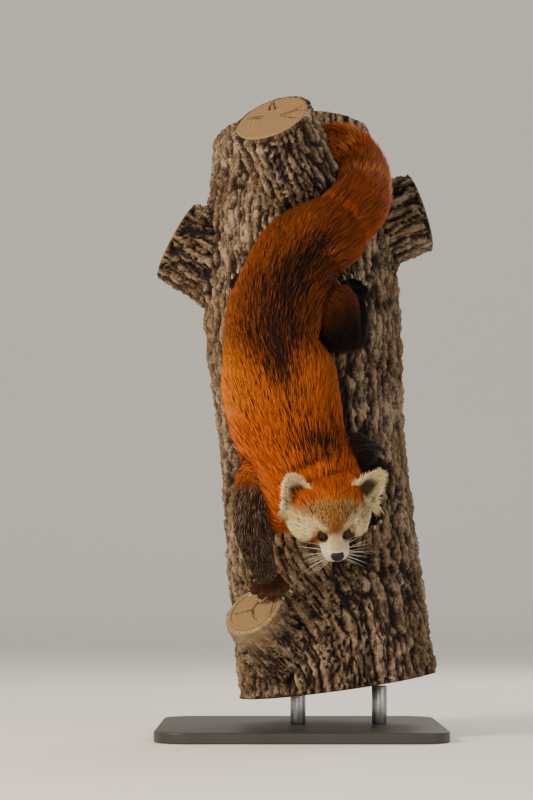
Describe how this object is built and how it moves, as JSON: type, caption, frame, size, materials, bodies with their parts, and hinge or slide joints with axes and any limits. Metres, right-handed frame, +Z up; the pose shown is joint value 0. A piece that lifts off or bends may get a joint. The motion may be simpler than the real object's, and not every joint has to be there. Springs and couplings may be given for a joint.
{
  "type": "red panda on a cut length of tree trunk",
  "caption": "Life-size red panda climbing head first down a cut, forked tree trunk, its bushy tail curled over a limb; the trunk stands on a plain base by short rods.",
  "frame": {"origin": "middle of the display base's underside", "axes": "+Z up along the trunk, +X to the right of someone facing the animal's back, -Y towards that person"},
  "size_m": [0.5277, 0.6056, 1.1535],
  "materials": {
    "rust_coat": "long dense coat, matt",
    "dark_coat": "short dense coat, matt",
    "face_coat": "short coat, matt",
    "pale_coat": "fine short coat, matt",
    "eye": "wet gloss",
    "nose": "moist, half gloss",
    "claw": "smooth horn",
    "wood": "rough furrowed bark",
    "base": "satin paint",
    "rod": "satin"
  },
  "bodies": {
    "root": {"torso": "rust_coat", "neck": "rust_coat", "head": "face_coat", "nose": "nose", "eye_right": "eye", "ear_right": "pale_coat", "eye_left": "eye", "ear_left": "pale_coat", "fore_right_upper": "dark_coat", "fore_right_lower": "dark_coat", "fore_right_paw": "dark_coat", "fore_right_claw_1": "claw", "fore_right_claw_2": "claw", "fore_right_claw_3": "claw", "fore_right_claw_4": "claw", "fore_right_claw_5": "claw", "fore_left_upper": "dark_coat", "fore_left_lower": "dark_coat", "fore_left_paw": "dark_coat", "fore_left_claw_1": "claw", "fore_left_claw_2": "claw", "fore_left_claw_3": "claw", "fore_left_claw_4": "claw", "fore_left_claw_5": "claw", "hind_right_upper": "rust_coat", "hind_right_lower": "dark_coat", "hind_right_paw": "dark_coat", "hind_right_claw_1": "claw", "hind_right_claw_2": "claw", "hind_right_claw_3": "claw", "hind_right_claw_4": "claw", "hind_right_claw_5": "claw", "hind_left_upper": "rust_coat", "hind_left_lower": "dark_coat", "hind_left_paw": "dark_coat", "hind_left_claw_1": "claw", "hind_left_claw_2": "claw", "hind_left_claw_3": "claw", "hind_left_claw_4": "claw", "hind_left_claw_5": "claw", "tail_1": "rust_coat", "tail_2": "rust_coat", "tail_3": "rust_coat", "tail_4": "rust_coat", "perch_trunk": "wood", "perch_limb_left": "wood", "perch_limb_right": "wood", "perch_limb_front": "wood", "perch_stub": "wood", "stand_base": "base", "stand_rod_1": "rod", "stand_rod_2": "rod"}
  },
  "joints": []
}
